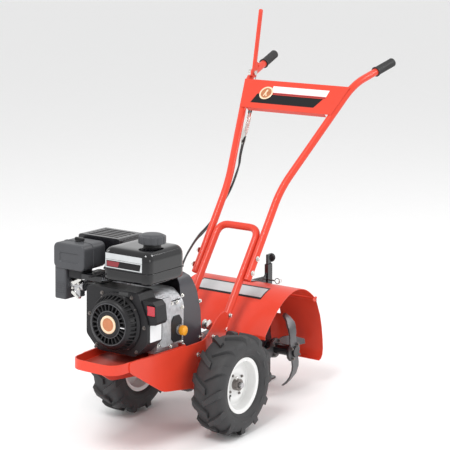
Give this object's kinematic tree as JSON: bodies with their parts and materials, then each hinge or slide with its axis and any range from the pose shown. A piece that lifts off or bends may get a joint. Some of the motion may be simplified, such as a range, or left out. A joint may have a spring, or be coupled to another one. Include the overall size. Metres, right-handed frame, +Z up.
{
  "type": "rear-tine walk-behind tiller",
  "caption": "Wheeled garden tiller with an air-cooled engine on a tray, a belt and worm drive to wheels and hooded rear tines, long handlebars and a control lever.",
  "frame": {"origin": "on the ground, midway along the machine's length and width", "axes": "+Z up, +Y from the engine towards the operator, +X to the operator's left"},
  "size_m": [0.5232, 1.4241, 1.2824],
  "materials": {
    "orange_paint": "satin orange-red powder coat",
    "black_paint": "semi-gloss black paint",
    "white_paint": "semi-gloss white paint",
    "cover_grey": "satin dark grey paint",
    "black_gloss": "gloss black",
    "black_plastic": "moulded black",
    "grey_plastic": "moulded mid grey",
    "white_plastic": "moulded white",
    "red_plastic": "moulded red",
    "amber_plastic": "moulded amber",
    "casting": "rough cast",
    "steel": "machined",
    "zinc": "zinc plated",
    "bronze": "machined",
    "tyre": "moulded tread",
    "rubber": "matte",
    "cable_black": "smooth jacket"
  },
  "bodies": {
    "chassis": {"gear_case_left": "orange_paint", "gear_case_right": "orange_paint", "tine_hood": "orange_paint", "flap_hinge_rod": "zinc", "stake_guide": "black_paint", "engine_deck": "orange_paint", "frame_side_left": "orange_paint", "frame_side_right": "orange_paint", "crankcase": "casting", "cylinder_head": "casting", "blower_housing": "black_plastic", "recoil_cover": "black_plastic", "fuel_tank": "black_gloss", "air_cleaner": "grey_plastic", "carburettor": "casting", "muffler": "steel", "muffler_guard": "black_plastic", "switch_box": "black_plastic", "belt_cover": "cover_grey", "drive_belt": "rubber", "handle_bracket": "orange_paint", "handlebar_left": "orange_paint", "handlebar_right": "orange_paint", "grip_left": "rubber", "grip_right": "rubber", "handle_panel": "orange_paint", "lever_pivot": "zinc", "forward_cable": "cable_black", "reverse_cable": "cable_black"},
    "wheels": {"axle_shaft": "steel", "wheel_rim_left": "white_paint", "wheel_rim_right": "white_paint", "tyre_left": "tyre", "tyre_right": "tyre", "axle_worm_wheel": "bronze"},
    "tine_rotor": {"tine_shaft": "black_paint", "tine_blade_left_outer": "black_paint", "tine_blade_left_inner": "black_paint", "tine_blade_right_inner": "black_paint", "tine_blade_right_outer": "black_paint", "tine_worm_wheel": "bronze"},
    "input": {"input_shaft": "steel", "driven_pulley": "steel"},
    "crank": {"crankshaft": "steel", "flywheel_fan": "casting", "drive_pulley": "steel"},
    "lever": {"control_lever": "orange_paint"},
    "idler": {"idler_arm": "zinc", "idler_wheel": "white_plastic"},
    "flap": {"rear_flap": "orange_paint"},
    "stake": {"depth_stake": "black_paint"},
    "pin": {"stake_pin": "zinc"},
    "filler_cap": {"fuel_cap": "grey_plastic"},
    "dipstick": {"oil_dipstick": "amber_plastic"},
    "filter_knob": {"air_cleaner_knob": "grey_plastic"},
    "rocker": {"switch_rocker": "red_plastic"},
    "throttle": {"throttle_lever": "grey_plastic"},
    "choke": {"choke_lever": "black_plastic"},
    "fuel_valve": {"fuel_valve_lever": "black_plastic"},
    "starter": {"starter_grip": "rubber"}
  },
  "joints": [
    {"name": "wheel_drive", "type": "hinge", "parent": "chassis", "child": "wheels", "pos_m": [0, -0.25366, 0.165], "axis": [1, 0, 0], "continuous": true},
    {"name": "tine_drive", "type": "hinge", "parent": "chassis", "child": "tine_rotor", "pos_m": [0, 0.17634, 0.155], "axis": [1, 0, 0], "continuous": true},
    {"name": "input_turn", "type": "hinge", "parent": "chassis", "child": "input", "pos_m": [0, -0.25366, 0.221], "axis": [0, 1, 0], "continuous": true},
    {"name": "crank_turn", "type": "hinge", "parent": "chassis", "child": "crank", "pos_m": [0, -0.24996, 0.40394], "axis": [0, 0.9994, -0.0349], "continuous": true},
    {"name": "lever_swing", "type": "hinge", "parent": "chassis", "child": "lever", "pos_m": [-0.191, 0.47634, 1.058], "axis": [1, 0, 0], "range_deg": [-12, 12]},
    {"name": "idler_swing", "type": "hinge", "parent": "chassis", "child": "idler", "pos_m": [0.024, -0.31196, 0.236], "axis": [0, 1, 0], "range_deg": [-4.2, 4.2]},
    {"name": "flap_swing", "type": "hinge", "parent": "chassis", "child": "flap", "pos_m": [0, 0.26334, 0.326], "axis": [1, 0, 0], "range_deg": [0, 60]},
    {"name": "stake_slide", "type": "slide", "parent": "chassis", "child": "stake", "axis": [0, 0, 1], "range_m": [0, 0.15]},
    {"name": "pin_pull", "type": "slide", "parent": "chassis", "child": "pin", "axis": [1, 0, 0], "range_m": [0, 0.026]},
    {"name": "cap_turn", "type": "hinge", "parent": "chassis", "child": "filler_cap", "pos_m": [0.056, -0.47797, 0.63703], "axis": [0, 0.0349, 0.9994], "range_deg": [0, 90]},
    {"name": "dipstick_turn", "type": "hinge", "parent": "chassis", "child": "dipstick", "pos_m": [0.098, -0.40148, 0.3632], "axis": [1, 0, 0], "range_deg": [0, 360]},
    {"name": "filter_knob_turn", "type": "hinge", "parent": "chassis", "child": "filter_knob", "pos_m": [-0.195, -0.51826, 0.62944], "axis": [0, 0.0349, 0.9994], "range_deg": [0, 360]},
    {"name": "rocker_tilt", "type": "hinge", "parent": "chassis", "child": "rocker", "pos_m": [0.125, -0.57895, 0.46746], "axis": [1, 0, 0], "range_deg": [-12, 0]},
    {"name": "throttle_swing", "type": "hinge", "parent": "chassis", "child": "throttle", "pos_m": [-0.092, -0.54496, 0.55232], "axis": [0, 0.0349, 0.9994], "range_deg": [-25, 20]},
    {"name": "choke_swing", "type": "hinge", "parent": "chassis", "child": "choke", "pos_m": [-0.19, -0.55643, 0.50469], "axis": [0, 0.9994, -0.0349], "range_deg": [-60, 0]},
    {"name": "fuel_valve_swing", "type": "hinge", "parent": "chassis", "child": "fuel_valve", "pos_m": [-0.192, -0.55948, 0.47478], "axis": [0, 0.9994, -0.0349], "range_deg": [0, 60]},
    {"name": "starter_pull", "type": "slide", "parent": "chassis", "child": "starter", "axis": [0, 0.0349, 0.9994], "range_m": [0, 0.6], "stiffness_N_per_m": 20}
  ],
  "couplings": [
    {"joint": "tine_drive", "follows": "wheel_drive", "ratio": -5},
    {"joint": "input_turn", "follows": "wheel_drive", "ratio": 40},
    {"joint": "idler_swing", "follows": "lever_swing", "ratio": -0.35}
  ]
}
